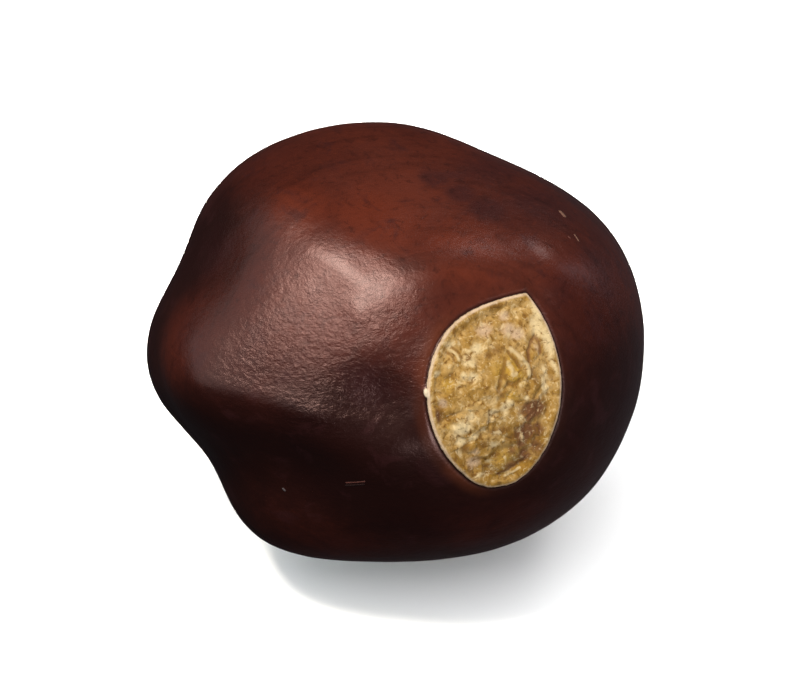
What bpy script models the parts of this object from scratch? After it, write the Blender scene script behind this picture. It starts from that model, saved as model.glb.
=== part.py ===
"""One raw horse chestnut, the shiny seed that falls out of the spiny husk.

The seed is a single lobed solid. The husk pressed two flats into it, one on the
shoulder to the left of the scar and one on the crown, and shallow valleys part the
swellings round its left side. On the front is the scar, the pale, corky spot where
the seed hung in the husk: an egg with one sharper corner, a thin raised lip and a
slightly sunken floor.

Frame: +Z up, the scar faces -Y, and the origin is at the middle of the base, under the
box that holds the seed. The seed rests on a small flat spot, as it does once it lies
still. Blender works in metres, and the sizes below are in millimetres and degrees.
"""

import math

import bmesh
import bpy
import numpy as np

MM = 0.001
NAME = "horse_chestnut"

# Half the size of the plain egg that everything else is added to: across, deep and high.
HALF_AXES = (15.8, 14.8, 15.3)

# Swellings and dents: azimuth and elevation of the middle, how far it spreads, and height.
# Azimuth turns from +X towards +Y, so the front is at -90 and the left side at 180.
SWELLINGS = {
    "left_end": (-179, -8, 17, 1.2),
    "left_front": (-149, 18, 11, 1.6),
    "left_back": (147, 28, 18, 0.6),
    "left_foot": (-136, -27, 17, 1.3),
    "left_waist": (-158, -18, 11, -0.5),
    "dimple_by_scar": (-97, 31, 9.5, -0.85),
    "saddle_over_scar": (-64, 50, 10, -0.55),
    "knuckle": (-20, 46, 10, 0.9),
    "under_scar": (-90, -38, 24, -0.6),
    "right_cheek": (-38, -18, 26, 0.6),
    "right_back": (18, 16, 22, 0.5),
    "back_cheek": (100, -25, 22, 0.4),
    "back_dent": (118, 12, 16, -0.4),
}

# Long folds: the places that the fold runs through, its spread, and its height.
FOLDS = {
    "left_valley": (((150, -8), (166, 14), (-170, 40)), 10, -0.75),
    "valley_under_left": (((-168, -36), (-148, -14), (-118, 0)), 12, -1.25),
    "ridge_under_shoulder": (((-140, 20), (-118, 22), (-94, 18)), 6.5, 0.55),
    "valley_behind_crown": (((48, 12), (50, 38), (15, 60), (-35, 52)), 18, -1.35),
}

# Pressed flats: where each one faces, how far it lies from the middle, and how sharply
# it meets the round of the seed.
PRESSED_FLATS = {
    "shoulder": (-111.5, 58.5, 13.7, 18),
    "crown": (45, 79, 12.4, 18),
}
# Cosine of the angle past which a flat is too far round the seed to touch it.
FLAT_REACH = 0.05

# The scar: where its root faces, and the half width and height of the egg about it, all
# seen from the seed's middle. From there the edge draws out to a point at its upper right.
SCAR_FACES = (-66.0, 20.5)
SCAR_HALF_WIDTH = 10.5
SCAR_HALF_HEIGHT = 15.7
SCAR_LEAN = 5.0
SCAR_CORNER_AT = 54.0
SCAR_CORNER_FADE = 63.0
SCAR_CORNER_REACH = 22.4

# The scar's relief: a thin lip at its edge, a floor that lies a little lower, and a
# shallow groove outside the lip, where the skin tucks in.
LIP_HEIGHT = 0.15
LIP_WIDTH = 0.45
FLOOR_DEPTH = 0.2
SKIN_TUCK = 0.12

# The seed settles on a flat spot this far above its lowest point.
FOOT_CUT = 0.4
FOOT_SNAP = 0.1

# Mesh: spokes round the scar, and rings from its middle to the far side of the seed. The
# rings on its lip and just outside lie close together, over a span of a few degrees.
SPOKES = 80
FLOOR_RINGS = 6
LIP_RINGS = 4
LIP_RING_SPAN = 3.5
TUCK_RINGS = 4
TUCK_RING_SPAN = 3.2
BODY_RINGS = 40
SCAR_RINGS = FLOOR_RINGS + LIP_RINGS
ALL_RINGS = SCAR_RINGS + TUCK_RINGS + BODY_RINGS

COAT_COLOUR = (0.095, 0.016, 0.009, 1.0)
COAT_ROUGHNESS = 0.32
SCAR_COLOUR = (0.42, 0.26, 0.10, 1.0)
SCAR_ROUGHNESS = 0.85


def clear_scene():
    """Remove whatever the scene holds."""
    for thing in list(bpy.data.objects):
        bpy.data.objects.remove(thing, do_unlink=True)


def heading(azimuth, elevation):
    """Unit vector at an azimuth and elevation in degrees."""
    turn = math.radians(azimuth)
    rise = math.radians(elevation)
    level = math.cos(rise)
    return np.array([level * math.cos(turn), level * math.sin(turn), math.sin(rise)])


def angle_between(ways, way):
    """Angles in degrees between unit vectors and one or as many others."""
    return np.degrees(np.arccos(np.clip((ways * way).sum(axis=1), -1.0, 1.0)))


def swell(angle, spread):
    """Bell curve of an angle or a distance: 1 at the middle, fading over the spread."""
    return np.exp(-0.5 * (angle / spread) ** 2)


def angle_to_fold(ways, places):
    """Angle in degrees from each unit vector to the nearest point of a fold."""
    nearest = np.full(len(ways), 180.0)
    for here, there in zip(places, places[1:]):
        start = heading(*here)
        run = heading(*there) - start
        along = np.clip(((ways - start) @ run) / (run @ run), 0.0, 1.0)
        foot = start + along[:, None] * run
        foot /= np.linalg.norm(foot, axis=1)[:, None]
        nearest = np.minimum(nearest, angle_between(ways, foot))
    return nearest


def seed_radius(ways):
    """Distance in millimetres from the seed's middle to its skin, along unit vectors."""
    reach = 1.0 / np.sqrt(((ways / np.array(HALF_AXES)) ** 2).sum(axis=1))
    for azimuth, elevation, spread, height in SWELLINGS.values():
        reach += height * swell(angle_between(ways, heading(azimuth, elevation)), spread)
    for places, spread, height in FOLDS.values():
        reach += height * swell(angle_to_fold(ways, places), spread)
    for azimuth, elevation, distance, sharpness in PRESSED_FLATS.values():
        facing = np.maximum(ways @ heading(azimuth, elevation), FLAT_REACH)
        flat = distance / facing
        reach = (reach ** -sharpness + flat ** -sharpness) ** (-1.0 / sharpness)
    return reach


def scar_axes():
    """The way that the scar faces, and its rightward and upward directions."""
    out = heading(*SCAR_FACES)
    upward = np.array([0.0, 0.0, 1.0]) - out * out[2]
    upward /= np.linalg.norm(upward)
    return out, np.cross(upward, out), upward


def scar_edge(around):
    """Angle from the scar's middle to its edge, for angles round it in degrees."""
    turned = np.radians(around - 90.0 - SCAR_LEAN)
    egg = 1.0 / np.hypot(np.cos(turned) / SCAR_HALF_HEIGHT, np.sin(turned) / SCAR_HALF_WIDTH)
    to_corner = (around - SCAR_CORNER_AT + 180.0) % 360.0 - 180.0
    return egg + SCAR_CORNER_REACH * np.exp(-np.abs(to_corner) / SCAR_CORNER_FADE)


def ring_angle(ring, edge):
    """Angle of each ring from the scar's middle, so that one ring lies along its edge."""
    stretches = (
        (FLOOR_RINGS, edge - LIP_RING_SPAN),
        (LIP_RINGS, edge),
        (TUCK_RINGS, edge + TUCK_RING_SPAN),
        (BODY_RINGS, np.full(len(edge), 180.0)),
    )
    angle = np.zeros(len(edge))
    start = np.zeros(len(edge))
    first = 0
    for rings, end in stretches:
        angle += (end - start) * np.clip((ring - first) / rings, 0.0, 1.0)
        start = end
        first += rings
    return angle


def scar_relief(distance):
    """Height of the scar's lip and floor, at distances in mm inside its edge."""
    lip = LIP_HEIGHT * swell(distance - 0.5 * LIP_WIDTH, 0.5 * LIP_WIDTH)
    floor = -FLOOR_DEPTH * np.clip((distance - LIP_WIDTH) / LIP_WIDTH, 0.0, 1.0)
    tuck = -SKIN_TUCK * swell(distance + 0.5 * LIP_WIDTH, 0.5 * LIP_WIDTH)
    return np.where(distance > 0.0, lip + floor, tuck)


def seed_points(sphere_points):
    """Skin points in millimetres, for the points of a ball with its pole at the scar."""
    height = np.clip(sphere_points[:, 2], -1.0, 1.0)
    ring = np.round(np.arccos(height) / math.pi * ALL_RINGS)
    spoke = np.degrees(np.arctan2(sphere_points[:, 1], sphere_points[:, 0]))
    edge = scar_edge(spoke)
    away = ring_angle(ring, edge)
    out, rightward, upward = scar_axes()
    tilt = np.radians(away)[:, None]
    turn = np.radians(spoke)[:, None]
    sideways = np.cos(turn) * rightward + np.sin(turn) * upward
    ways = np.cos(tilt) * out + np.sin(tilt) * sideways
    reach = seed_radius(ways)
    inside = np.radians(edge - away) * reach
    return ways * (reach + scar_relief(inside))[:, None]


def cut_foot(mesh):
    """Slice the seed level just above its lowest point, and close it with a flat face."""
    level = min(point.co.z for point in mesh.verts) + FOOT_CUT * MM
    for point in mesh.verts:
        if abs(point.co.z - level) < FOOT_SNAP * MM:
            point.co.z = level
    everything = mesh.verts[:] + mesh.edges[:] + mesh.faces[:]
    bmesh.ops.bisect_plane(
        mesh,
        geom=everything,
        dist=1e-7,
        plane_co=(0.0, 0.0, level),
        plane_no=(0.0, 0.0, -1.0),
        clear_outer=True,
    )
    rim = [edge for edge in mesh.edges if edge.is_boundary]
    bmesh.ops.holes_fill(mesh, edges=rim, sides=0)


def make_seed():
    """Build the seed as a ball of rings and spokes about its scar, moved to its skin."""
    mesh = bmesh.new()
    bmesh.ops.create_uvsphere(mesh, u_segments=SPOKES, v_segments=ALL_RINGS, radius=1.0)
    for face in mesh.faces:
        height = min(max(face.calc_center_median().normalized().z, -1.0), 1.0)
        face.material_index = int(math.acos(height) / math.pi * ALL_RINGS < SCAR_RINGS)
    ball = np.array([point.co[:] for point in mesh.verts])
    for point, place in zip(mesh.verts, seed_points(ball)):
        point.co = place * MM
    cut_foot(mesh)
    bmesh.ops.triangulate(mesh, faces=mesh.faces[:])
    bmesh.ops.recalc_face_normals(mesh, faces=mesh.faces[:])
    data = bpy.data.meshes.new(NAME)
    mesh.to_mesh(data)
    mesh.free()
    data.shade_smooth()
    return bpy.data.objects.new(NAME, data)


def stand_on_origin(thing):
    """Place an object so that the middle of its box's base is at the origin."""
    corners = np.array([point.co[:] for point in thing.data.vertices])
    low, high = corners.min(axis=0), corners.max(axis=0)
    thing.location = (-0.5 * (low[0] + high[0]), -0.5 * (low[1] + high[1]), -low[2])


def finish(name, colour, roughness):
    """A plain material in one colour."""
    material = bpy.data.materials.new(name)
    material.use_nodes = True
    shader = material.node_tree.nodes["Principled BSDF"]
    shader.inputs["Base Color"].default_value = colour
    shader.inputs["Roughness"].default_value = roughness
    return material


def build():
    """Model the seed in a collection of its own."""
    clear_scene()
    group = bpy.data.collections.new(NAME)
    bpy.context.scene.collection.children.link(group)
    seed = make_seed()
    seed.data.materials.append(finish("seed_coat", COAT_COLOUR, COAT_ROUGHNESS))
    seed.data.materials.append(finish("scar", SCAR_COLOUR, SCAR_ROUGHNESS))
    stand_on_origin(seed)
    group.objects.link(seed)


build()
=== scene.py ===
"""The looks of one raw horse chestnut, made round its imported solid.

The seed is one fine mesh in the same form as the solid, with the skin's small dents and
folds, the scar's lip and its corky, fibrous floor as real relief. One material paints it:
a mottled, satin mahogany skin with fine wrinkles and faint growth rings round the scar,
and the dry, flaky scar. Sizes are in millimetres and degrees unless a comment says
otherwise, and Blender gets metres.
"""

import math

import bmesh
import bpy
import numpy as np
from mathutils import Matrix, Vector


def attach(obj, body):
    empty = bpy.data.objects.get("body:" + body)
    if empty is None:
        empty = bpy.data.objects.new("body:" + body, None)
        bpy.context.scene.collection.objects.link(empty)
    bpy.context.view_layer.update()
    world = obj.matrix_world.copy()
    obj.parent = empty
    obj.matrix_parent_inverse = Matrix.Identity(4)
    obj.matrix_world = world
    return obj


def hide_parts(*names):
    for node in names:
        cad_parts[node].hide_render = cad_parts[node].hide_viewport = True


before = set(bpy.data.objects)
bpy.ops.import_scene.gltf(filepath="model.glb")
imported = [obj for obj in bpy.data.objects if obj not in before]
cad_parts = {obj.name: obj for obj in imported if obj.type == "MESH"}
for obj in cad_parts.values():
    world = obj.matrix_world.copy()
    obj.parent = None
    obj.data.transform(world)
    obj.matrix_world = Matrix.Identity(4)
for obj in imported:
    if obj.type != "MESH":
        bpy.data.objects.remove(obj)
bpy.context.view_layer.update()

MM = 0.001
NODE = "horse_chestnut"

# The seed's form, as the solid has it: half sizes, swellings (azimuth, elevation, spread,
# height), long folds (places, spread, height) and pressed flats (azimuth, elevation,
# distance, sharpness).
HALF_AXES = (15.8, 14.8, 15.3)
SWELLINGS = {
    "left_end": (-179, -8, 17, 1.2),
    "left_front": (-149, 18, 11, 1.6),
    "left_back": (147, 28, 18, 0.6),
    "left_foot": (-136, -27, 17, 1.3),
    "left_waist": (-158, -18, 11, -0.5),
    "dimple_by_scar": (-97, 31, 9.5, -0.85),
    "saddle_over_scar": (-64, 50, 10, -0.55),
    "knuckle": (-20, 46, 10, 0.9),
    "under_scar": (-90, -38, 24, -0.6),
    "right_cheek": (-38, -18, 26, 0.6),
    "right_back": (18, 16, 22, 0.5),
    "back_cheek": (100, -25, 22, 0.4),
    "back_dent": (118, 12, 16, -0.4),
}
FOLDS = {
    "left_valley": (((150, -8), (166, 14), (-170, 40)), 10, -0.75),
    "valley_under_left": (((-168, -36), (-148, -14), (-118, 0)), 12, -1.25),
    "ridge_under_shoulder": (((-140, 20), (-118, 22), (-94, 18)), 6.5, 0.55),
    "valley_behind_crown": (((48, 12), (50, 38), (15, 60), (-35, 52)), 18, -1.35),
}
PRESSED_FLATS = {
    "shoulder": (-111.5, 58.5, 13.7, 18),
    "crown": (45, 79, 12.4, 18),
}
# Cosine of the angle past which a flat is too far round the seed to touch it.
FLAT_REACH = 0.05
# The seed stands on a flat spot this far above its lowest point.
FOOT_CUT = 0.4

# The scar, as the solid has it: where its root faces, the half width and height of the egg
# about it, the corner that draws out at its upper right, its lip and its sunken floor.
SCAR_FACES = (-66.0, 20.5)
SCAR_HALF_WIDTH = 10.5
SCAR_HALF_HEIGHT = 15.7
SCAR_LEAN = 5.0
SCAR_CORNER_AT = 54.0
SCAR_CORNER_FADE = 63.0
SCAR_CORNER_REACH = 22.4
LIP_HEIGHT = 0.15
LIP_WIDTH = 0.45
FLOOR_DEPTH = 0.2
# The groove outside the lip is shallower than the solid's.
SKIN_TUCK = 0.05
# Distance of the scar from the seed's middle, which turns angles on it into millimetres.
SCAR_RADIUS = 14.8

# The fine mesh: spokes round the scar, and rings from its middle to the far side.
SPOKES = 360
FLOOR_RINGS = 70
LIP_RINGS = 16
LIP_RING_SPAN = 4.0
TUCK_RINGS = 16
TUCK_RING_SPAN = 4.0
BODY_RINGS = 138
ALL_RINGS = FLOOR_RINGS + LIP_RINGS + TUCK_RINGS + BODY_RINGS

# Soft stains on the scar: millimetres rightward and upward from its middle, spread each
# way, and strength.
CREAM_SPOTS = (
    ((0.55, 5.0), (0.32, 0.28), 1.0),
    ((-0.3, 3.3), (0.32, 0.26), 1.0),
    ((-0.85, 3.6), (0.22, 0.22), 0.8),
    ((-0.2, 4.5), (0.4, 0.45), 0.75),
    ((5.45, 5.9), (0.22, 0.7), 1.0),
    ((5.2, 5.0), (0.35, 0.6), 0.9),
    ((5.5, 3.9), (0.25, 0.8), 1.0),
    ((5.35, 2.3), (0.12, 0.7), 0.8),
    ((-1.8, 0.3), (0.5, 0.4), 1.0),
    ((1.3, 0.8), (0.3, 0.3), 0.9),
    ((4.72, 2.0), (0.12, 0.35), 1.0),
    ((4.36, 1.2), (0.17, 0.55), 1.0),
    ((2.2, -0.2), (0.16, 0.14), 1.0),
    ((2.9, 0.95), (0.15, 0.14), 0.9),
    ((-1.1, 0.8), (0.35, 0.3), 0.7),
    ((-1.6, 0.3), (0.45, 0.35), 1.0),
    ((-2.3, -0.1), (0.4, 0.4), 0.6),
    ((0.35, 0.7), (0.35, 0.3), 0.8),
    ((1.6, 0.9), (0.35, 0.25), 0.9),
    ((0.65, 1.5), (0.4, 0.35), 0.5),
    ((-1.25, 5.8), (0.3, 0.2), 0.7),
    ((-2.6, 4.2), (0.2, 0.18), 0.9),
    ((-0.35, -2.55), (0.18, 0.14), 0.7),
    ((-2.0, -0.6), (0.3, 0.25), 0.9),
    ((-1.0, -0.5), (0.35, 0.22), 0.8),
    ((-1.2, -3.3), (0.3, 0.15), 0.8),
    ((0.1, -1.5), (0.3, 0.2), 0.8),
)
PINK_SPOTS = (
    ((3.3, 5.5), (0.38, 0.35), 1.0),
    ((3.75, 5.0), (0.42, 0.32), 1.0),
    ((3.4, 6.4), (0.32, 0.26), 0.9),
    ((1.6, 6.0), (0.45, 0.36), 1.0),
    ((-1.3, -2.3), (0.36, 0.32), 1.0),
    ((-1.15, -1.6), (0.3, 0.3), 0.6),
    ((-2.65, 2.2), (0.22, 0.26), 1.0),
    ((4.7, 3.7), (0.14, 0.4), 0.6),
)
AMBER_SPOTS = (
    ((2.45, 2.9), (0.40, 0.75), 1.2),
    ((2.9, 2.6), (0.22, 0.6), 0.8),
    ((1.5, 3.2), (0.45, 0.7), 0.6),
    ((1.9, 1.3), (0.5, 0.45), 0.7),
    ((-2.1, 3.5), (0.4, 0.6), 0.7),
    ((-2.6, 0.3), (0.3, 0.6), 0.5),
    ((0.8, -2.6), (0.8, 0.5), 0.6),
)
BROWN_SPOTS = (
    ((1.9, 4.5), (0.5, 0.28), 0.65),
    ((1.25, 4.35), (0.25, 0.22), 0.8),
    ((2.25, 6.35), (0.15, 0.15), 0.9),
    ((2.75, 5.6), (0.22, 0.16), 0.6),
    ((4.3, 5.5), (0.12, 0.24), 0.7),
    ((4.7, 5.9), (0.1, 0.26), 0.9),
    ((-2.05, 3.85), (0.32, 0.28), 0.6),
    ((0.0, 0.25), (0.15, 0.13), 0.8),
    ((4.4, 1.85), (0.09, 0.1), 0.8),
    ((3.85, 2.0), (0.2, 0.8), 0.7),
    ((5.0, 1.9), (0.14, 0.8), 0.5),
    ((0.85, -0.65), (0.5, 0.22), 0.8),
    ((1.6, -1.25), (0.5, 0.26), 0.9),
    ((0.25, -0.5), (0.3, 0.2), 0.7),
    ((0.13, -2.25), (0.2, 0.18), 0.9),
    ((-0.3, -3.4), (0.5, 0.16), 0.6),
    ((-2.9, 1.6), (0.22, 0.5), 0.8),
    ((-1.75, -1.15), (0.25, 0.3), 0.8),
    ((-0.6, -1.2), (0.3, 0.2), 0.8),
    ((-1.6, -2.7), (0.2, 0.3), 0.8),
    ((-0.5, -2.9), (0.3, 0.16), 0.8),
    ((-2.2, 1.3), (0.25, 0.2), 0.6),
)
UMBER_SPOTS = (
    ((3.2, 0.0), (0.7, 0.5), 1.2),
    ((2.4, -1.3), (0.55, 0.55), 1.1),
    ((2.95, 0.35), (0.4, 0.25), 0.9),
    ((2.85, -0.5), (0.32, 0.3), 0.9),
    ((2.35, -1.0), (0.45, 0.28), 0.8),
    ((3.25, -1.4), (0.32, 0.4), 1.0),
    ((1.95, -1.9), (0.35, 0.4), 0.8),
    ((2.05, -2.8), (0.35, 0.4), 0.9),
    ((-3.15, 1.5), (0.14, 0.4), 0.9),
    ((2.9, -2.4), (0.35, 0.5), 0.8),
    ((1.1, -3.3), (0.5, 0.25), 0.7),
    ((1.3, -2.3), (0.25, 0.3), 0.7),
)

# Narrow marks on the scar: the places that each runs through, half width, height, and kind.
SCAR_LINES = {
    "hook": (((2.65, 4.15), (2.78, 3.72), (2.95, 3.4), (3.1, 2.9)), 0.11, -0.12, "brown"),
    "hook_left": (
        ((2.25, 3.8), (1.9, 3.1), (1.45, 2.65), (1.15, 2.0), (1.35, 1.5)),
        0.12,
        -0.08,
        "brown",
    ),
    "hook_low": (((1.95, 2.2), (2.37, 2.07), (2.75, 2.15)), 0.13, -0.08, "brown"),
    "slit_left": (((4.93, 4.4), (4.55, 4.17), (4.13, 3.79), (3.87, 3.04)), 0.10, -0.12, "umber"),
    "slit_right": (((4.93, 4.4), (4.98, 3.79), (4.8, 3.3)), 0.09, -0.10, "umber"),
    "inner_curl": (((-1.55, 5.35), (-1.33, 5.15), (-1.2, 4.75)), 0.08, -0.08, "brown"),
    "outer_curl": (((-1.1, 5.6), (-0.8, 5.25), (-0.65, 4.75)), 0.08, -0.05, "brown"),
    "low_streak": (((0.2, -3.7), (1.0, -3.55), (1.8, -3.35), (2.4, -2.9)), 0.08, -0.07, "umber"),
    "strand": (
        ((2.9, 4.3), (3.16, 3.85), (3.43, 3.31), (3.62, 2.82), (3.5, 2.2)),
        0.12,
        0.12,
        "cream",
    ),
    "flake_high": (((2.35, 3.45), (2.45, 3.0)), 0.13, 0.08, "cream"),
    "flake_low": (((2.35, 2.75), (2.6, 2.65)), 0.12, 0.08, "cream"),
    "curl": (((-1.3, 5.5), (-1.0, 5.15), (-0.9, 4.7)), 0.08, 0.07, "cream"),
    "pale_streak": (((0.6, -3.95), (1.2, -3.8), (1.7, -3.65)), 0.05, 0.05, "cream"),
}
# The small pale knob on the left of the scar's lip, as a soft spot, and its height.
KNOB_SPOTS = (((-3.56, 3.14), (0.15, 0.26), 1.0),)
KNOB_HEIGHT = 0.2

# Random relief: share or height in mm, width of its bumps in mm, and seed.
LIP_UNEVEN = ((0.45, 0.9, 11), (0.3, 0.35, 12))
SCAR_LUMPS = ((0.08, 0.9, 31), (0.06, 0.42, 32))
SKIN_UNEVEN = ((0.05, 4.2, 41), (0.025, 1.9, 42))
# The scar's relief is bent by noise, so that it doesn't lie on a grid.
BEND = 0.35
BEND_CELL = 0.9
BEND_SEEDS = (21, 22, 23)
# Its fibres run upward, and its flakes have steep edges.
FIBRE_HEIGHT = 0.06
FIBRE_CELL = 0.36
FIBRE_STRETCH = (1.0, 1.0, 0.5)
FIBRE_SEED = 33
FLAKE_HEIGHT = 0.05
FLAKE_CELL = 0.5
FLAKE_STEEPNESS = 0.3
FLAKE_SEED = 34
# Cells each way after which the noise repeats.
NOISE_CELLS = 32
# Distance from the scar's edge over which the skin's own relief comes in.
SKIN_RELIEF_FADE = 1.5

# Dents and low rises of the skin, finer than the solid's: azimuth and elevation of the
# middle, spread and height; and low folds: their places, spread and height.
SKIN_DENTS = {
    "under_shoulder": (-114, 33, 6.0, -0.05),
    "left_of_scar": (-91, 29, 7.0, -0.26),
    "hollow_brow": (-99, 42, 5.0, 0.08),
    "shoulder_rise": (-109, 52, 2.8, 0.07),
    "beside_shoulder": (-84, 45, 6.0, -0.10),
}
LOW_FOLDS = {
    "ridge": (((-143, 20.5), (-135, 22.5), (-127, 23.8), (-114, 24.2)), 2.0, 0.17),
    "ridge_end": (((-114, 24.2), (-105, 24.3), (-96, 24.2)), 1.3, 0.07),
    "shoulder_crest": (((-145, 61), (-132, 62), (-119, 61.5), (-106, 58.5), (-98, 56)), 2.6, 0.05),
    "knuckle_crest": (((-27, 43.5), (-20, 49), (-14, 53.5)), 4.0, 0.13),
}

# How red the skin is, from 0 for nearly black to 1: it rises by the gain between two
# elevations, and changes about some places (azimuth, elevation, spread, change).
RED_RISE = (8.0, 50.0)
RED_GAIN = 0.58
RED_PLACES = {
    "crown": (90, 85, 12, 0.45),
    "above_scar": (-50, 58, 14, 0.2),
    "left_tip": (-157, 20, 7, 0.55),
    # Painted shade: the skin is made darker in the hollow beside the scar.
    "hollow": (-101, 31, 8, -0.32),
    # Painted shade: the skin is made darker in the valley at the left.
    "left_valley": (-178, 40, 12, -0.45),
    "left_shadow": (168, 38, 8, -0.2),
    # Painted shade: the skin is made darker under the ridge.
    "painted_shade_under_ridge": (-108, 20, 12, -0.15),
    "front_foot": (-110, -24, 12, 0.3),
    "knuckle": (-17, 36, 8, 0.25),
    "right_rim": (0, 18, 10, 0.55),
    "under_scar": (-66, -14, 9, 0.3),
    "back": (90, -5, 40, 0.32),
    "underside": (0, -90, 30, 0.25),
}

# Patches of purple and of orange in the skin, and those where it is glossier or more
# wrinkled: azimuth, elevation, spread, strength.
PURPLE_PLACES = (
    (55, 72, 4, 0.9),
    (25, 70, 4, 1.0),
    (5, 64, 5, 1.0),
    (42, 55, 9, 0.7),
    (12, 50, 9, 0.8),
    (-26, 40, 5, 0.6),
    (-8, 34, 7, 0.6),
    (-175, 37, 9, 0.5),
    (-155, 26, 6, 0.5),
    # Painted shade: this purple patch darkens the hollow beside the scar.
    (-100, 34, 6, 0.7),
    (150, 30, 12, 0.6),
    (80, 20, 12, 0.5),
)
ORANGE_PLACES = (
    (-46, 66, 9, 1.0),
    (-100, 78, 9, 0.8),
    (-172, 64, 8, 0.8),
    (-147, 80, 9, 0.9),
    (-84, 36, 4, 0.7),
    (60, 50, 10, 0.4),
    (110, 40, 12, 0.5),
)
GLOSSY_PLACES = ((-20, 49.5, 5, 0.4), (-101, 31, 8, 0.8))
WRINKLED_PLACES = (
    (-128, 33, 8, 0.7),
    (-114, 30, 8, 1.0),
    (-103, 33, 8, 0.7),
    (-92, 36, 6, 0.8),
    (-120, 45, 9, 0.5),
    (-100, 47, 8, 0.5),
)

# Small marks on the skin: azimuth and elevation of both ends, half width in mm, and kind.
MARKS = {
    "nick": ((-104.0, 4.3), (-99.0, 6.8), 0.08, "rust"),
    "nick_shade": ((-104.2, 3.1), (-99.1, 5.6), 0.08, "dark"),
    "grey_speck": ((-122.3, -6.0), (-121.9, -6.3), 0.12, "grey"),
    "dot": ((10.2, 43.6), (8.0, 43.1), 0.19, "tan"),
    "tick": ((-1.2, 41.6), (-3.3, 40.7), 0.10, "tan"),
    "small_tick": ((-3.7, 43.4), (-4.3, 43.1), 0.08, "rust"),
    "dust": ((-135.5, 19.9), (-135.0, 19.7), 0.06, "tan"),
    "fleck_back": ((96.0, 38.0), (98.5, 38.6), 0.09, "tan"),
    "scratch_back": ((140.0, -6.0), (147.0, -3.0), 0.06, "rust"),
}


def heading(azimuth, elevation):
    """Unit vector at an azimuth and elevation in degrees."""
    turn = math.radians(azimuth)
    rise = math.radians(elevation)
    level = math.cos(rise)
    return np.array([level * math.cos(turn), level * math.sin(turn), math.sin(rise)])


def angle_between(ways, way):
    """Angles in degrees between unit vectors and one or as many others."""
    return np.degrees(np.arccos(np.clip((ways * way).sum(axis=1), -1.0, 1.0)))


def swell(angle, spread):
    """Bell curve of an angle or a distance: 1 at the middle, fading over the spread."""
    return np.exp(-0.5 * (angle / spread) ** 2)


def fade(value, near, far):
    """Smooth fall from 1 to 0, as a value goes from near to far."""
    left = np.clip((far - value) / (far - near), 0.0, 1.0)
    return left * left * (3.0 - 2.0 * left)


def angle_to_fold(ways, places):
    """Angle in degrees from each unit vector to the nearest point of a fold."""
    nearest = np.full(len(ways), 180.0)
    for here, there in zip(places, places[1:]):
        start = heading(*here)
        run = heading(*there) - start
        along = np.clip(((ways - start) @ run) / (run @ run), 0.0, 1.0)
        foot = start + along[:, None] * run
        foot /= np.linalg.norm(foot, axis=1)[:, None]
        nearest = np.minimum(nearest, angle_between(ways, foot))
    return nearest


def seed_radius(ways):
    """Distance in millimetres from the seed's middle to its skin, along unit vectors."""
    reach = 1.0 / np.sqrt(((ways / np.array(HALF_AXES)) ** 2).sum(axis=1))
    for azimuth, elevation, spread, height in SWELLINGS.values():
        reach += height * swell(angle_between(ways, heading(azimuth, elevation)), spread)
    for places, spread, height in FOLDS.values():
        reach += height * swell(angle_to_fold(ways, places), spread)
    for azimuth, elevation, distance, sharpness in PRESSED_FLATS.values():
        facing = np.maximum(ways @ heading(azimuth, elevation), FLAT_REACH)
        flat = distance / facing
        reach = (reach ** -sharpness + flat ** -sharpness) ** (-1.0 / sharpness)
    return reach


def skin_point(azimuth, elevation):
    """Point on the smooth skin, in millimetres from the seed's middle."""
    way = heading(azimuth, elevation)[None, :]
    return (way * seed_radius(way)[:, None])[0]


def scar_axes():
    """The way that the scar faces, and its rightward and upward directions."""
    out = heading(*SCAR_FACES)
    upward = np.array([0.0, 0.0, 1.0]) - out * out[2]
    upward /= np.linalg.norm(upward)
    return out, np.cross(upward, out), upward


def scar_edge(around):
    """Angle from the scar's middle to its edge, for angles round it in degrees."""
    turned = np.radians(around - 90.0 - SCAR_LEAN)
    egg = 1.0 / np.hypot(np.cos(turned) / SCAR_HALF_HEIGHT, np.sin(turned) / SCAR_HALF_WIDTH)
    to_corner = (around - SCAR_CORNER_AT + 180.0) % 360.0 - 180.0
    return egg + SCAR_CORNER_REACH * np.exp(-np.abs(to_corner) / SCAR_CORNER_FADE)


def ring_angle(ring, edge):
    """Angle of each ring from the scar's middle, so that one ring lies along its edge."""
    stretches = (
        (FLOOR_RINGS, edge - LIP_RING_SPAN),
        (LIP_RINGS, edge),
        (TUCK_RINGS, edge + TUCK_RING_SPAN),
        (BODY_RINGS, np.full(len(edge), 180.0)),
    )
    angle = np.zeros(len(edge))
    start = np.zeros(len(edge))
    first = 0
    for rings, end in stretches:
        angle += (end - start) * np.clip((ring - first) / rings, 0.0, 1.0)
        start = end
        first += rings
    return angle


def soft_noise(points, cell, seed):
    """Smooth random relief from -1 to 1, with bumps about one cell wide."""
    table = np.random.default_rng(seed).uniform(-1.0, 1.0, (NOISE_CELLS,) * 3)
    place = points / cell
    corner = np.floor(place).astype(int)
    part = place - corner
    part = part * part * (3.0 - 2.0 * part)
    total = np.zeros(len(points))
    for step in np.ndindex(2, 2, 2):
        at = (corner + np.array(step)) % NOISE_CELLS
        share = np.where(np.array(step), part, 1.0 - part).prod(axis=1)
        total += share * table[at[:, 0], at[:, 1], at[:, 2]]
    return total


def layers(points, parts):
    """Sum of several random reliefs, each with its own height, cell and seed."""
    return sum(height * soft_noise(points, cell, seed) for height, cell, seed in parts)


def spots(across, up, places):
    """Strength of a set of soft spots at places on the scar."""
    total = np.zeros(len(across))
    for (middle_x, middle_y), (spread_x, spread_y), strength in places:
        away = np.hypot((across - middle_x) / spread_x, (up - middle_y) / spread_y)
        total = np.maximum(total, strength * swell(away, 1.0))
    return total


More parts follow.
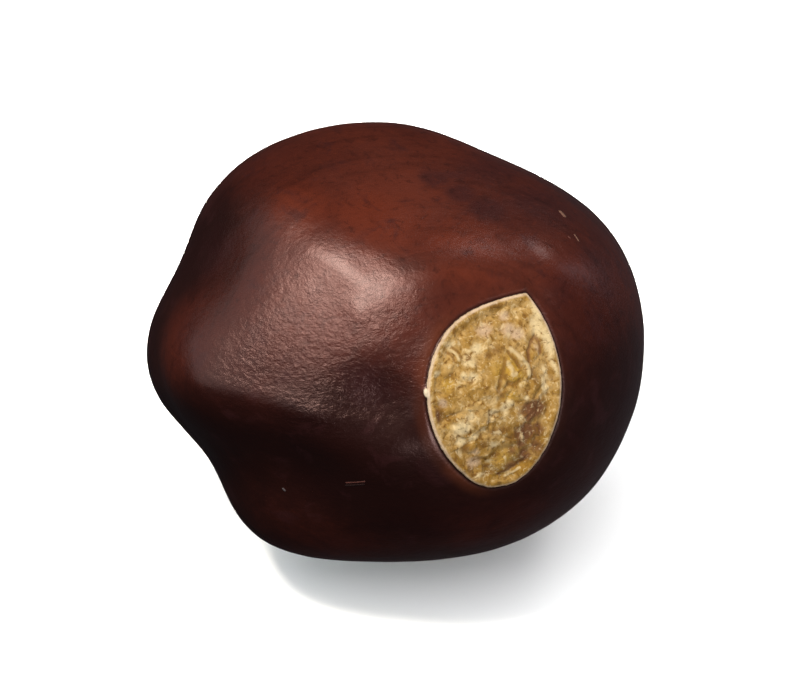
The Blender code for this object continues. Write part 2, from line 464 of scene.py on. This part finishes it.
def away_from_line(across, up, places):
    """Distance in millimetres from each point of the scar to a bent line on it."""
    nearest = np.full(len(across), np.inf)
    for start, end in zip(places, places[1:]):
        run = np.subtract(end, start)
        along = ((across - start[0]) * run[0] + (up - start[1]) * run[1]) / (run @ run)
        along = np.clip(along, 0.0, 1.0)
        gap = np.hypot(across - start[0] - along * run[0], up - start[1] - along * run[1])
        nearest = np.minimum(nearest, gap)
    return nearest


def line_share(across, up, kind):
    """Strength of one kind of the scar's narrow marks."""
    total = np.zeros(len(across))
    for places, half_width, _, line_kind in SCAR_LINES.values():
        if line_kind == kind:
            total = np.maximum(total, swell(away_from_line(across, up, places), half_width))
    return total


def scar_relief(inside, across, up, points):
    """Height of the scar's lip, floor, fibres and knob, and of the tuck round it."""
    uneven = 1.0 + layers(points, LIP_UNEVEN)
    lip = LIP_HEIGHT * uneven * swell(inside - 0.5 * LIP_WIDTH, 0.5 * LIP_WIDTH)
    floor = -FLOOR_DEPTH * np.clip((inside - LIP_WIDTH) / LIP_WIDTH, 0.0, 1.0)
    tuck = -SKIN_TUCK * swell(inside + 0.25 * LIP_WIDTH, 0.25 * LIP_WIDTH)
    deep = np.clip((inside - 0.5 * LIP_WIDTH) / LIP_WIDTH, 0.0, 1.0)
    bends = [soft_noise(points, BEND_CELL, seed) for seed in BEND_SEEDS]
    bent = points + BEND * np.stack(bends, 1)
    lumps = layers(bent, SCAR_LUMPS)
    strands = soft_noise(bent * np.array(FIBRE_STRETCH), FIBRE_CELL, FIBRE_SEED)
    fibres = FIBRE_HEIGHT * (0.5 - np.abs(strands))
    edges = soft_noise(bent, FLAKE_CELL, FLAKE_SEED)
    flakes = FLAKE_HEIGHT * np.sign(edges) * np.abs(edges) ** FLAKE_STEEPNESS
    for places, half_width, height, _ in SCAR_LINES.values():
        lumps = lumps + height * swell(away_from_line(across, up, places), half_width)
    knob = KNOB_HEIGHT * spots(across, up, KNOB_SPOTS)
    within = lip + floor + deep * (lumps + fibres + flakes)
    return np.where(inside > 0.0, within, tuck) + knob


def skin_relief(ways, points):
    """Shallow dents, low rises and folds of the skin, in millimetres."""
    height = layers(points, SKIN_UNEVEN)
    for azimuth, elevation, spread, rise in SKIN_DENTS.values():
        height += rise * swell(angle_between(ways, heading(azimuth, elevation)), spread)
    for places, spread, rise in LOW_FOLDS.values():
        height += rise * swell(angle_to_fold(ways, places), spread)
    return height


def patches(ways, places):
    """Strength of a set of soft patches of the skin."""
    total = np.zeros(len(ways))
    for azimuth, elevation, spread, strength in places:
        near = swell(angle_between(ways, heading(azimuth, elevation)), spread)
        total = np.maximum(total, strength * near)
    return total


def redness(ways):
    """How red the skin is at each place, from 0 to about 1."""
    start, end = RED_RISE
    rise = np.degrees(np.arcsin(np.clip(ways[:, 2], -1.0, 1.0)))
    red = RED_GAIN * fade(rise, end, start)
    for azimuth, elevation, spread, change in RED_PLACES.values():
        red += change * swell(angle_between(ways, heading(azimuth, elevation)), spread)
    return red


def seed_surface(ball):
    """Skin points and the facts that the material reads, for a ball with its pole at the scar."""
    ring = np.round(np.arccos(np.clip(ball[:, 2], -1.0, 1.0)) / math.pi * ALL_RINGS)
    spoke = np.degrees(np.arctan2(ball[:, 1], ball[:, 0]))
    edge = scar_edge(spoke)
    away = ring_angle(ring, edge)
    out, rightward, upward = scar_axes()
    tilt = np.radians(away)[:, None]
    turn = np.radians(spoke)[:, None]
    sideways = np.cos(turn) * rightward + np.sin(turn) * upward
    ways = np.cos(tilt) * out + np.sin(tilt) * sideways
    reach = seed_radius(ways)
    points = ways * reach[:, None]
    inside = np.radians(edge - away) * reach
    across = SCAR_RADIUS * tilt[:, 0] * np.cos(turn[:, 0])
    up = SCAR_RADIUS * tilt[:, 0] * np.sin(turn[:, 0])
    skin_share = np.clip(-inside / SKIN_RELIEF_FADE, 0.0, 1.0)
    height = scar_relief(inside, across, up, points) + skin_share * skin_relief(ways, points)
    return {
        "smooth": points,
        "points": points + ways * height[:, None],
        "inside": inside,
        "across": across,
        "up": up,
        "away": tilt[:, 0] * reach,
        "cream": spots(across, up, CREAM_SPOTS),
        "pink": spots(across, up, PINK_SPOTS),
        "amber": spots(across, up, AMBER_SPOTS),
        "brown": spots(across, up, BROWN_SPOTS),
        "umber": spots(across, up, UMBER_SPOTS),
        "cream_line": line_share(across, up, "cream"),
        "brown_line": line_share(across, up, "brown"),
        "umber_line": line_share(across, up, "umber"),
        "red": redness(ways),
        "purple": patches(ways, PURPLE_PLACES),
        "orange": patches(ways, ORANGE_PLACES),
        "glossy": patches(ways, GLOSSY_PLACES),
        "wrinkled": patches(ways, WRINKLED_PLACES),
        "knob": spots(across, up, KNOB_SPOTS),
    }


def make_seed():
    """The seed's fine mesh, placed as the solid is, and the place of its middle in mm."""
    ball = bmesh.new()
    bmesh.ops.create_uvsphere(ball, u_segments=SPOKES, v_segments=ALL_RINGS, radius=1.0)
    data = bpy.data.meshes.new("seed")
    ball.to_mesh(data)
    ball.free()
    count = len(data.vertices)
    coordinates = np.empty(count * 3)
    data.vertices.foreach_get("co", coordinates)
    facts = seed_surface(coordinates.reshape(-1, 3))
    low = facts["smooth"].min(axis=0)
    high = facts["smooth"].max(axis=0)
    level = low[2] + FOOT_CUT
    middle = np.array([-0.5 * (low[0] + high[0]), -0.5 * (low[1] + high[1]), -level])
    places = facts["points"]
    places[:, 2] = np.maximum(places[:, 2], level)
    data.vertices.foreach_set("co", ((places + middle) * MM).ravel())
    for name, values in facts.items():
        if name in ("smooth", "points"):
            continue
        layer = data.attributes.new(name, "FLOAT", "POINT")
        layer.data.foreach_set("value", values.astype(np.float32))
    data.shade_smooth()
    data.update()
    seed = bpy.data.objects.new("seed", data)
    bpy.context.scene.collection.objects.link(seed)
    return seed, middle


class Graph:
    """Short calls for building one material's nodes."""

    def __init__(self, material):
        material.use_nodes = True
        self.tree = material.node_tree
        self.shader = self.tree.nodes["Principled BSDF"]

    def put(self, socket, value):
        """Link a node's output to a socket, or set the socket's own value."""
        if isinstance(value, bpy.types.NodeSocket):
            self.tree.links.new(value, socket)
        else:
            socket.default_value = value

    def fact(self, name):
        """A number that the mesh carries at each point."""
        node = self.tree.nodes.new("ShaderNodeAttribute")
        node.attribute_name = name
        return node.outputs["Fac"]

    def vectors(self, operation, first, second):
        """One sum on vectors; a dot product or a distance gives a number."""
        node = self.tree.nodes.new("ShaderNodeVectorMath")
        node.operation = operation
        self.put(node.inputs[0], first)
        self.put(node.inputs[1], second)
        result = "Value" if operation in ("DOT_PRODUCT", "DISTANCE") else "Vector"
        return node.outputs[result]

    def place(self, stretch=(1.0, 1.0, 1.0)):
        """Position on the object in millimetres, squeezed by a factor each way."""
        coordinates = self.tree.nodes.new("ShaderNodeTexCoord").outputs["Object"]
        return self.vectors("MULTIPLY", coordinates, tuple(factor / MM for factor in stretch))

    def vector(self, x, y, z):
        """A vector of three numbers."""
        node = self.tree.nodes.new("ShaderNodeCombineXYZ")
        for socket, value in zip(node.inputs, (x, y, z)):
            self.put(socket, value)
        return node.outputs["Vector"]

    def math(self, operation, first, second=0.0, third=0.0):
        """One sum on numbers."""
        node = self.tree.nodes.new("ShaderNodeMath")
        node.operation = operation
        for socket, value in zip(node.inputs, (first, second, third)):
            self.put(socket, value)
        return node.outputs["Value"]

    def step(self, value, low, high, bottom=0.0, top=1.0):
        """A smooth change from bottom to top, as a value goes from low to high."""
        node = self.tree.nodes.new("ShaderNodeMapRange")
        node.interpolation_type = "SMOOTHSTEP"
        self.put(node.inputs["Value"], value)
        limits = {"From Min": low, "From Max": high, "To Min": bottom, "To Max": top}
        for name, number in limits.items():
            self.put(node.inputs[name], number)
        return node.outputs["Result"]

    def noise(self, place, size, detail, roughness, distortion):
        """Noise from 0 to 1 with features of a size in millimetres."""
        node = self.tree.nodes.new("ShaderNodeTexNoise")
        self.put(node.inputs["Vector"], place)
        node.inputs["Scale"].default_value = 1.0 / size
        node.inputs["Detail"].default_value = detail
        node.inputs["Roughness"].default_value = roughness
        node.inputs["Distortion"].default_value = distortion
        return node.outputs["Fac"]

    def centred(self, noise, width):
        """A noise from 0 to 1, spread over a width about 0."""
        return self.math("MULTIPLY_ADD", noise, width, -0.5 * width)

    def blend(self, share, first, second):
        """Mix of two colours."""
        node = self.tree.nodes.new("ShaderNodeMix")
        node.data_type = "RGBA"
        self.put(node.inputs[0], share)
        for socket, value in ((node.inputs[6], first), (node.inputs[7], second)):
            self.put(socket, value if isinstance(value, bpy.types.NodeSocket) else (*value, 1.0))
        return node.outputs[2]

    def away_from(self, start, end):
        """Distance in millimetres from a short straight mark on the skin."""
        run = Vector(end) - Vector(start)
        from_start = self.vectors("SUBTRACT", self.place(), tuple(start))
        reach = self.vectors("DOT_PRODUCT", from_start, tuple(run))
        along = self.math("DIVIDE", reach, run.length_squared)
        along = self.math("MINIMUM", self.math("MAXIMUM", along, 0.0), 1.0)
        foot = self.tree.nodes.new("ShaderNodeVectorMath")
        foot.operation = "SCALE"
        self.put(foot.inputs[0], tuple(run))
        self.put(foot.inputs["Scale"], along)
        return self.vectors("DISTANCE", from_start, foot.outputs["Vector"])

    def bump(self, height, depth, normal=None):
        """Surface relief of a depth in millimetres, from a height of 0 to 1."""
        node = self.tree.nodes.new("ShaderNodeBump")
        node.inputs["Distance"].default_value = depth * MM
        self.put(node.inputs["Height"], height)
        if normal is not None:
            self.put(node.inputs["Normal"], normal)
        return node.outputs["Normal"]


# Skin and scar colours, as linear values.
SKIN_RED = (0.101, 0.0205, 0.0112)
SKIN_BROWN = (0.052, 0.0102, 0.0064)
SKIN_DARK = (0.0135, 0.0034, 0.0029)
SKIN_PURPLE = (0.030, 0.0085, 0.0092)
SKIN_ORANGE = (0.112, 0.0200, 0.0090)
SKIN_AMBER = (0.120, 0.0300, 0.0120)
SKIN_SHADOW = (0.010, 0.0030, 0.0025)
SCAR_TAN = (0.52, 0.325, 0.112)
SCAR_OCHRE = (0.36, 0.196, 0.036)
# The darker, olive ochre of the scar's low end is partly its own colour and partly painted shade.
SCAR_LOW = (0.31, 0.160, 0.018)
SCAR_CREAM = (0.74, 0.57, 0.31)
SCAR_PINK = (0.56, 0.385, 0.235)
SCAR_AMBER = (0.50, 0.285, 0.038)
SCAR_BROWN = (0.20, 0.092, 0.015)
SCAR_UMBER = (0.17, 0.070, 0.026)
SCAR_CREVICE = (0.15, 0.075, 0.016)
# The lip is lighter high up and darker low down: the darker low tone is painted shade.
RIM_HIGH = (0.68, 0.50, 0.34)
RIM_LOW = (0.56, 0.40, 0.24)
KNOB_COLOUR = (0.82, 0.66, 0.48)
MARK_COLOURS = {
    "tan": (0.20, 0.105, 0.075),
    "grey": (0.10, 0.085, 0.090),
    "rust": (0.14, 0.045, 0.035),
    "dark": (0.008, 0.003, 0.003),
}

# Noise in the skin's colour: size in mm, detail, roughness and distortion. A stretch
# factor below 1 makes the noise longer that way.
SKIN_NOISE = {
    "broad": (7.0, 3.0, 0.5, 0.6),
    "mottle": (2.6, 5.0, 0.62, 0.5),
    "streaks": (0.9, 4.0, 0.6, 0.4),
    "rings": (1.3, 4.0, 0.6, 0.3),
    "fleck": (0.55, 4.0, 0.65, 0.6),
}
STREAK_STRETCH = (0.8, 0.8, 0.35)
RING_STRETCH = (0.2, 0.2, 0.2)

# Where each of the skin's tones comes in: the two values of its noise or fact between
# which it does, and the shares at both where these aren't 0 and 1.
SKIN_STEPS = {
    "brown": (-0.05, 0.55),
    "red": (0.45, 1.1),
    "orange": (0.1, 0.9),
    "orange_on_red": (0.25, 0.55),
    "purple": (0.15, 0.85),
    "purple_mottle": (0.52, 0.68, 0.0, 0.6),
    "rings": (0.48, 0.72, 0.0, 0.35),
    "streaks": (0.52, 0.74, 0.0, 0.3),
    "dark_fleck": (0.46, 0.30, 0.0, 0.4),
    "orange_fleck": (0.54, 0.70, 0.0, 0.35),
    "near_scar": (-1.3, -0.15),
    "left_of_scar": (0.5, -2.5, 0.1, 0.6),
    "uneven": (0.3, 0.55, 0.4, 1.0),
}
# How far the noises move the redness, how ragged they make the edges of patches and
# stains, and the most that orange and purple take.
RED_VARIATION = 0.35
PATCH_RAGGED = 0.9
ORANGE_SHARE = 0.85
PURPLE_SHARE = 0.65

# The noises and tones of the scar, in the same form.
SCAR_NOISE = {
    "cloud": (1.1, 3.0, 0.55, 0.8),
    "mottle": (0.50, 3.0, 0.6, 0.6),
    "grain": (0.27, 2.0, 0.55, 0.6),
}
SCAR_STEPS = {
    "low_end": (0.5, -3.5, 0.0, 0.9),
    "tan": (0.28, 0.68),
    "stain": (0.1, 0.9),
    "stain_reach": (0.0, 0.35),
    "cream_mottle": (0.56, 0.70, 0.0, 0.7),
    "brown_mottle": (0.44, 0.30, 0.0, 0.85),
    "crevice_grain": (0.43, 0.27, 0.0, 0.65),
    "cream_grain": (0.58, 0.74, 0.0, 0.65),
    "line": (0.60, 1.35, 0.0, 0.7),
    "rim_high": (-4.5, 2.0),
    "rim": (0.30, 0.12),
    "rim_uneven": (0.30, 0.50, 0.5, 1.0),
}
# How much ochre the tan takes at the low end, and how ragged the clouds and lines are.
LOW_OCHRE_SHARE = 0.6
CLOUD_RAGGED = 1.1
LINE_RAGGED = 0.9

# The noises, stretches and steps of the finish, in the same form.
FINISH_NOISE = {
    "edge": (0.5, 3.0, 0.6, 0.0),
    "satin": (2.2, 4.0, 0.6, 0.0),
    "wrinkles": (0.33, 4.0, 0.65, 0.25),
    "leather": (1.2, 4.0, 0.55, 0.3),
    "cork": (0.22, 5.0, 0.7, 1.0),
}
WRINKLE_STRETCH = (0.75, 0.75, 1.2)
CORK_STRETCH = (1.0, 1.0, 0.6)
FINISH_STEPS = {
    "scar": (-0.02, 0.05),
    "shadow": (-0.30, -0.05, 0.0, 0.85),
    "knob": (0.35, 0.7),
}
# How far the scar's edge wavers in mm, and the part of a mark's half width that has its
# full colour.
EDGE_RAGGED = 0.16
MARK_CORE = 0.4
# The skin's roughness, how far noise, glossy places and dry places change it, and the
# thin clear coat over it.
SKIN_ROUGHNESS = 0.285
ROUGHNESS_VARIATION = 0.16
GLOSSY_CHANGE = -0.10
DRY_CHANGE = 0.42
COAT_WEIGHT = 0.05
COAT_ROUGHNESS = 0.18
SEED_IOR = 1.47
SPECULAR_TINT = (1.0, 0.61, 0.57, 1.0)
# Height of the wrinkles on plain skin, what the wrinkled places add, the share of broader
# leather, and the depths of the three bumps in mm.
PLAIN_WRINKLES = 0.45
ADDED_WRINKLES = 1.7
LEATHER_SHARE = 0.7
SKIN_BUMP = 0.055
CORK_BUMP = 0.12
MARK_BUMP = 0.05


def skin_colour(graph):
    """Mottled mahogany, redder towards the crown, with faint growth rings about the scar."""
    place = graph.place()
    broad = graph.noise(place, *SKIN_NOISE["broad"])
    mottle = graph.noise(place, *SKIN_NOISE["mottle"])
    streaks = graph.noise(graph.place(STREAK_STRETCH), *SKIN_NOISE["streaks"])
    outward = graph.vector(graph.fact("away"), 0.0, 0.0)
    ring_place = graph.vectors("ADD", outward, graph.place(RING_STRETCH))
    rings = graph.noise(ring_place, *SKIN_NOISE["rings"])
    red = graph.math("MULTIPLY_ADD", broad, RED_VARIATION, graph.fact("red"))
    red = graph.math("SUBTRACT", red, RED_VARIATION)
    red = graph.math("MULTIPLY_ADD", mottle, RED_VARIATION, red)
    fleck = graph.noise(place, *SKIN_NOISE["fleck"])
    ragged = graph.centred(mottle, PATCH_RAGGED)
    colour = graph.blend(graph.step(red, *SKIN_STEPS["brown"]), SKIN_DARK, SKIN_BROWN)
    colour = graph.blend(graph.step(red, *SKIN_STEPS["red"]), colour, SKIN_RED)
    orange = graph.math("ADD", graph.fact("orange"), ragged)
    orange = graph.step(orange, *SKIN_STEPS["orange"])
    on_red = graph.step(graph.fact("red"), *SKIN_STEPS["orange_on_red"])
    orange = graph.math("MULTIPLY", orange, on_red)
    colour = graph.blend(graph.math("MULTIPLY", orange, ORANGE_SHARE), colour, SKIN_ORANGE)
    purple = graph.math("ADD", graph.fact("purple"), ragged)
    purple = graph.step(purple, *SKIN_STEPS["purple"])
    purple = graph.math("MULTIPLY", purple, PURPLE_SHARE)
    purple_mottle = graph.step(mottle, *SKIN_STEPS["purple_mottle"])
    purple = graph.math("MAXIMUM", purple, purple_mottle)
    colour = graph.blend(purple, colour, SKIN_PURPLE)
    for noise, name in ((rings, "rings"), (streaks, "streaks"), (fleck, "dark_fleck")):
        colour = graph.blend(graph.step(noise, *SKIN_STEPS[name]), colour, SKIN_DARK)
    orange_fleck = graph.step(fleck, *SKIN_STEPS["orange_fleck"])
    orange_fleck = graph.math("MULTIPLY", orange_fleck, graph.fact("red"))
    colour = graph.blend(orange_fleck, colour, SKIN_ORANGE)
    near = graph.step(graph.fact("inside"), *SKIN_STEPS["near_scar"])
    left_side = graph.step(graph.fact("across"), *SKIN_STEPS["left_of_scar"])
    uneven = graph.step(broad, *SKIN_STEPS["uneven"])
    warm = graph.math("MULTIPLY", near, graph.math("MULTIPLY", left_side, uneven))
    return graph.blend(warm, colour, SKIN_AMBER)


def scar_colour(graph):
    """Corky tan with ochre, amber, brown and pink stains and pale fibres."""
    place = graph.place()
    cloud = graph.noise(place, *SCAR_NOISE["cloud"])
    mottle = graph.noise(place, *SCAR_NOISE["mottle"])
    grain = graph.noise(place, *SCAR_NOISE["grain"])
    ragged = graph.centred(mottle, PATCH_RAGGED)
    # The low end is darker: partly its own olive ochre, partly painted shade.
    low = graph.step(graph.fact("up"), *SCAR_STEPS["low_end"])
    ochre = graph.blend(low, SCAR_OCHRE, SCAR_LOW)
    tan = graph.blend(graph.math("MULTIPLY", low, LOW_OCHRE_SHARE), SCAR_TAN, SCAR_OCHRE)
    share = graph.math("ADD", graph.centred(mottle, CLOUD_RAGGED), cloud)
    colour = graph.blend(graph.step(share, *SCAR_STEPS["tan"]), ochre, tan)
    stains = {
        "amber": SCAR_AMBER,
        "brown": SCAR_BROWN,
        "umber": SCAR_UMBER,
        "pink": SCAR_PINK,
        "cream": SCAR_CREAM,
    }
    for name, tone in stains.items():
        strength = graph.math("ADD", graph.fact(name), ragged)
        strength = graph.step(strength, *SCAR_STEPS["stain"])
        reach = graph.step(graph.fact(name), *SCAR_STEPS["stain_reach"])
        colour = graph.blend(graph.math("MULTIPLY", strength, reach), colour, tone)
    specks = (
        (mottle, "cream_mottle", SCAR_CREAM),
        (mottle, "brown_mottle", SCAR_BROWN),
        (grain, "crevice_grain", SCAR_CREVICE),
        (grain, "cream_grain", SCAR_CREAM),
    )
    for noise, name, tone in specks:
        colour = graph.blend(graph.step(noise, *SCAR_STEPS[name]), colour, tone)
    lines = {"brown_line": SCAR_BROWN, "umber_line": SCAR_UMBER, "cream_line": SCAR_CREAM}
    for name, tone in lines.items():
        strength = graph.math("MULTIPLY_ADD", grain, LINE_RAGGED, graph.fact(name))
        colour = graph.blend(graph.step(strength, *SCAR_STEPS["line"]), colour, tone)
    # Painted shade: the lip darkens towards the scar's low end.
    high = graph.step(graph.fact("up"), *SCAR_STEPS["rim_high"])
    rim_colour = graph.blend(high, RIM_LOW, RIM_HIGH)
    rim = graph.step(graph.fact("inside"), *SCAR_STEPS["rim"])
    rim = graph.math("MULTIPLY", rim, graph.step(cloud, *SCAR_STEPS["rim_uneven"]))
    return graph.blend(rim, colour, rim_colour)


def seed_bump(graph, scar, mark_share):
    """Fine wrinkles of the skin, the grain of the cork, and the edges of the marks."""
    place = graph.place()
    wrinkles = graph.noise(graph.place(WRINKLE_STRETCH), *FINISH_NOISE["wrinkles"])
    wrinkled = graph.fact("wrinkled")
    wrinkled = graph.math("MULTIPLY_ADD", wrinkled, ADDED_WRINKLES, PLAIN_WRINKLES)
    leather = graph.noise(place, *FINISH_NOISE["leather"])
    leather = graph.math("MULTIPLY", leather, LEATHER_SHARE)
    skin_height = graph.math("MULTIPLY_ADD", wrinkles, wrinkled, leather)
    skin_height = graph.math("MULTIPLY", skin_height, graph.math("SUBTRACT", 1.0, scar))
    cork = graph.noise(graph.place(CORK_STRETCH), *FINISH_NOISE["cork"])
    fine = graph.bump(skin_height, SKIN_BUMP)
    rough = graph.bump(graph.math("MULTIPLY", cork, scar), CORK_BUMP, fine)
    return graph.bump(mark_share, MARK_BUMP, rough)


def seed_material(middle):
    """The one material of the seed."""
    material = bpy.data.materials.new("seed_finish")
    graph = Graph(material)
    place = graph.place()
    ragged = graph.centred(graph.noise(place, *FINISH_NOISE["edge"]), EDGE_RAGGED)
    edge = graph.math("ADD", graph.fact("inside"), ragged)
    scar = graph.step(edge, *FINISH_STEPS["scar"])
    skin = skin_colour(graph)
    skin = graph.blend(graph.step(edge, *FINISH_STEPS["shadow"]), skin, SKIN_SHADOW)
    mark_share = 0.0
    for start, end, half_width, kind in MARKS.values():
        ends = [skin_point(*at) + middle for at in (start, end)]
        near = graph.step(graph.away_from(*ends), half_width, MARK_CORE * half_width)
        skin = graph.blend(near, skin, MARK_COLOURS[kind])
        mark_share = graph.math("MAXIMUM", mark_share, near)
    colour = graph.blend(scar, skin, scar_colour(graph))
    knob = graph.step(graph.fact("knob"), *FINISH_STEPS["knob"])
    colour = graph.blend(knob, colour, KNOB_COLOUR)

    satin = graph.noise(place, *FINISH_NOISE["satin"])
    satin = graph.math("MULTIPLY_ADD", satin, ROUGHNESS_VARIATION, SKIN_ROUGHNESS)
    satin = graph.math("MULTIPLY_ADD", graph.fact("glossy"), GLOSSY_CHANGE, satin)
    dry = graph.math("MAXIMUM", scar, mark_share)
    roughness = graph.math("MULTIPLY_ADD", dry, DRY_CHANGE, satin)
    coat = graph.math("MULTIPLY", graph.math("SUBTRACT", 1.0, dry), COAT_WEIGHT)

    inputs = graph.shader.inputs
    graph.put(inputs["Base Color"], colour)
    graph.put(inputs["Roughness"], roughness)
    graph.put(inputs["Coat Weight"], coat)
    graph.put(inputs["Normal"], seed_bump(graph, scar, mark_share))
    inputs["Coat Roughness"].default_value = COAT_ROUGHNESS
    inputs["IOR"].default_value = SEED_IOR
    inputs["Specular Tint"].default_value = SPECULAR_TINT
    return material


# The camera looks down on the seed's front. Its distance and clip start are in metres.
CAMERA_ELEVATION = 45.0
CAMERA_DISTANCE = 0.26
CAMERA_SENSOR = 36.0
CAMERA_LENS = 175.9
CAMERA_CLIP = 0.01

# Lamps: azimuth and elevation, distance and size in metres, power in watts, and colour.
WHITE = (1.0, 1.0, 1.0)
LAMPS = {
    "key": ((-154.0, 71.5), 0.40, (0.09, 0.09), 1.68, (1.0, 0.94, 0.83)),
    "side": ((-168.0, 36.0), 0.40, (0.60, 0.28), 0.58, (0.83, 0.97, 1.0)),
    "fill": ((-58.0, 16.0), 0.35, (0.10, 0.10), 0.60, WHITE),
    "rear": ((54.0, 44.0), 0.40, (0.08, 0.08), 0.13, WHITE),
    "right": ((25.0, 20.0), 0.40, (0.06, 0.26), 0.08, (0.96, 0.88, 1.0)),
}
FLOOR_LAMP = ((0.0, 90.0), 0.9, (1.4, 1.4), 22.0, WHITE)

# The faint glow of the surroundings: its colour, where it is strongest, and how its
# strength rises with the cosine of the angle from there.
GLOW_COLOUR = (0.92, 0.86, 0.96, 1.0)
GLOW_FROM = (40.0, -32.0)
GLOW_STEPS = {"From Min": 0.55, "From Max": 0.95, "To Min": 0.022, "To Max": 0.09}

# The floor, with its width in metres.
FLOOR_WIDTH = 3.0
FLOOR_COLOUR = (0.82, 0.82, 0.82, 1.0)
FLOOR_ROUGHNESS = 0.9
FLOOR_SPECULAR = 0.1


def place_camera(middle):
    """A long lens at the photograph's angle."""
    elevation = math.radians(CAMERA_ELEVATION)
    back = Vector((0.0, -math.cos(elevation), math.sin(elevation)))
    camera = bpy.data.cameras.new("camera")
    camera.sensor_width = CAMERA_SENSOR
    camera.lens = CAMERA_LENS
    camera.clip_start = CAMERA_CLIP
    holder = bpy.data.objects.new("camera", camera)
    holder.location = Vector(middle) * MM + back * CAMERA_DISTANCE
    holder.rotation_euler = back.to_track_quat("Z", "Y").to_euler()
    bpy.context.scene.collection.objects.link(holder)
    bpy.context.scene.camera = holder


def area_light(name, place, distance, size, power, colour):
    """A rectangular lamp that faces the seed."""
    light = bpy.data.lights.new(name, "AREA")
    light.shape = "RECTANGLE"
    light.size, light.size_y = size
    light.energy = power
    light.color = colour
    way = Vector(heading(*place))
    holder = bpy.data.objects.new(name, light)
    holder.location = way * distance
    holder.rotation_euler = way.to_track_quat("Z", "Y").to_euler()
    bpy.context.scene.collection.objects.link(holder)
    return holder


def light_studio():
    """The lamps about the seed, and a faint glow that is strongest low at the right."""
    for name, settings in LAMPS.items():
        area_light(name, *settings)
    world = bpy.data.worlds.new("studio")
    bpy.context.scene.world = world
    world.use_nodes = True
    tree = world.node_tree
    glow = tree.nodes["Background"]
    glow.inputs["Color"].default_value = GLOW_COLOUR
    way = tree.nodes.new("ShaderNodeTexCoord").outputs["Generated"]
    facing = tree.nodes.new("ShaderNodeVectorMath")
    facing.operation = "DOT_PRODUCT"
    facing.inputs[1].default_value = heading(*GLOW_FROM)
    tree.links.new(way, facing.inputs[0])
    strength = tree.nodes.new("ShaderNodeMapRange")
    strength.interpolation_type = "SMOOTHSTEP"
    tree.links.new(facing.outputs["Value"], strength.inputs["Value"])
    for name, number in GLOW_STEPS.items():
        strength.inputs[name].default_value = number
    tree.links.new(strength.outputs["Result"], glow.inputs["Strength"])
    bpy.context.scene.view_settings.view_transform = "Standard"


def lay_floor():
    """A plain pale floor, with a wide lamp of its own that keeps the shadow soft.

    Reflections and bounced light leave the floor out, so that the dark skin stays dark.
    """
    bpy.ops.mesh.primitive_plane_add(size=FLOOR_WIDTH, location=(0.0, 0.0, 0.0))
    floor = bpy.context.object
    floor.name = "floor"
    material = bpy.data.materials.new("floor_finish")
    graph = Graph(material)
    graph.shader.inputs["Base Color"].default_value = FLOOR_COLOUR
    graph.shader.inputs["Roughness"].default_value = FLOOR_ROUGHNESS
    graph.shader.inputs["Specular IOR Level"].default_value = FLOOR_SPECULAR
    floor.data.materials.append(material)
    floor.visible_glossy = False
    floor.visible_diffuse = False
    lit_by_it = bpy.data.collections.new("lit_by_floor_lamp")
    lit_by_it.objects.link(floor)
    lamp = area_light("floor_lamp", *FLOOR_LAMP)
    lamp.light_linking.receiver_collection = lit_by_it


seed, seed_middle = make_seed()
seed.data.materials.append(seed_material(seed_middle))
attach(seed, "root")
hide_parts(NODE)
place_camera(seed_middle)
light_studio()
lay_floor()
